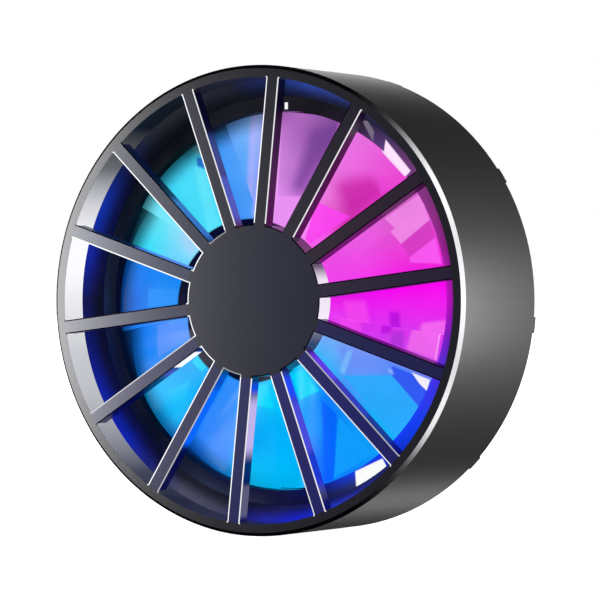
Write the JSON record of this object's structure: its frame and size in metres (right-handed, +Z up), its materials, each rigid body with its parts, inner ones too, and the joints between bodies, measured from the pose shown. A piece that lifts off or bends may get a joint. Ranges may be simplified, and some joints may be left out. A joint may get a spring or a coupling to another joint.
{
  "type": "phone cooling fan",
  "caption": "Round magnetic phone cooler: a short dark drum with a spoked front grille, a lit translucent fan, a finned heatsink and a cold plate at the back.",
  "frame": {"origin": "centre of the flat face that touches the phone: contact pad, soft ring and feet all end in that plane", "axes": "+Y out of the phone face towards the phone, so the grille faces -Y; +Z up and +X right for someone looking at the grille; the charging socket is at -X"},
  "size_m": [0.066, 0.023, 0.066],
  "materials": {
    "case_plastic": "dark grey satin moulding, fine texture",
    "shroud_plastic": "black satin moulding",
    "frosted_plastic": "frosted translucent, lit from behind",
    "blade_plastic": "translucent, polished, lit by the lamps",
    "lamp_lens": "clear lens over the diodes",
    "board_laminate": "green lacquered laminate",
    "board_parts": "moulded black",
    "screw_steel": "blackened steel",
    "motor_steel": "plain steel",
    "magnet_nickel": "nickel plated",
    "coil_copper": "enamelled copper winding",
    "bearing_bronze": "oil-filled sintered bronze",
    "motor_plastic": "black moulding",
    "plain_aluminium": "machined, clear finish",
    "module_ceramic": "white alumina, ground",
    "pellet_alloy": "grey semiconductor alloy",
    "soft_silicone": "soft matte silicone",
    "closed_foam": "closed-cell foam",
    "lead_insulation": "smooth insulation",
    "socket_steel": "stamped and plated",
    "tongue_plastic": "black moulding"
  },
  "bodies": {
    "case": {"front_grille": "case_plastic", "drum_shell": "case_plastic", "rear_cover": "case_plastic", "case_screws": "screw_steel", "holding_magnets": "magnet_nickel", "soft_ring": "soft_silicone", "contact_pad": "soft_silicone", "cold_plate": "plain_aluminium", "peltier_cold_ceramic": "module_ceramic", "peltier_hot_ceramic": "module_ceramic", "peltier_pellets": "pellet_alloy", "peltier_leads": "lead_insulation", "foam_gasket": "closed_foam", "heatsink": "plain_aluminium", "heatsink_screws": "screw_steel", "light_ring": "frosted_plastic", "light_board": "board_laminate", "lamps": "lamp_lens", "fan_shroud": "shroud_plastic", "light_leads": "lead_insulation", "sleeve_bearing": "bearing_bronze", "thrust_pad": "motor_plastic", "motor_base": "motor_plastic", "motor_screws": "screw_steel", "motor_board": "board_laminate", "stator_core": "motor_steel", "stator_coils": "coil_copper", "motor_leads": "lead_insulation", "control_board": "board_laminate", "board_components": "board_parts", "board_screws": "screw_steel", "usb_c_socket": "socket_steel", "socket_tongue": "tongue_plastic"},
    "rotor": {"impeller": "blade_plastic", "rotor_yoke": "motor_steel", "ring_magnet": "magnet_nickel", "shaft": "motor_steel", "retaining_washer": "motor_steel"}
  },
  "joints": [
    {"name": "fan_spin", "type": "hinge", "parent": "case", "child": "rotor", "pos_m": [0, -0.0132, 0], "axis": [0, -1, 0], "continuous": true}
  ]
}
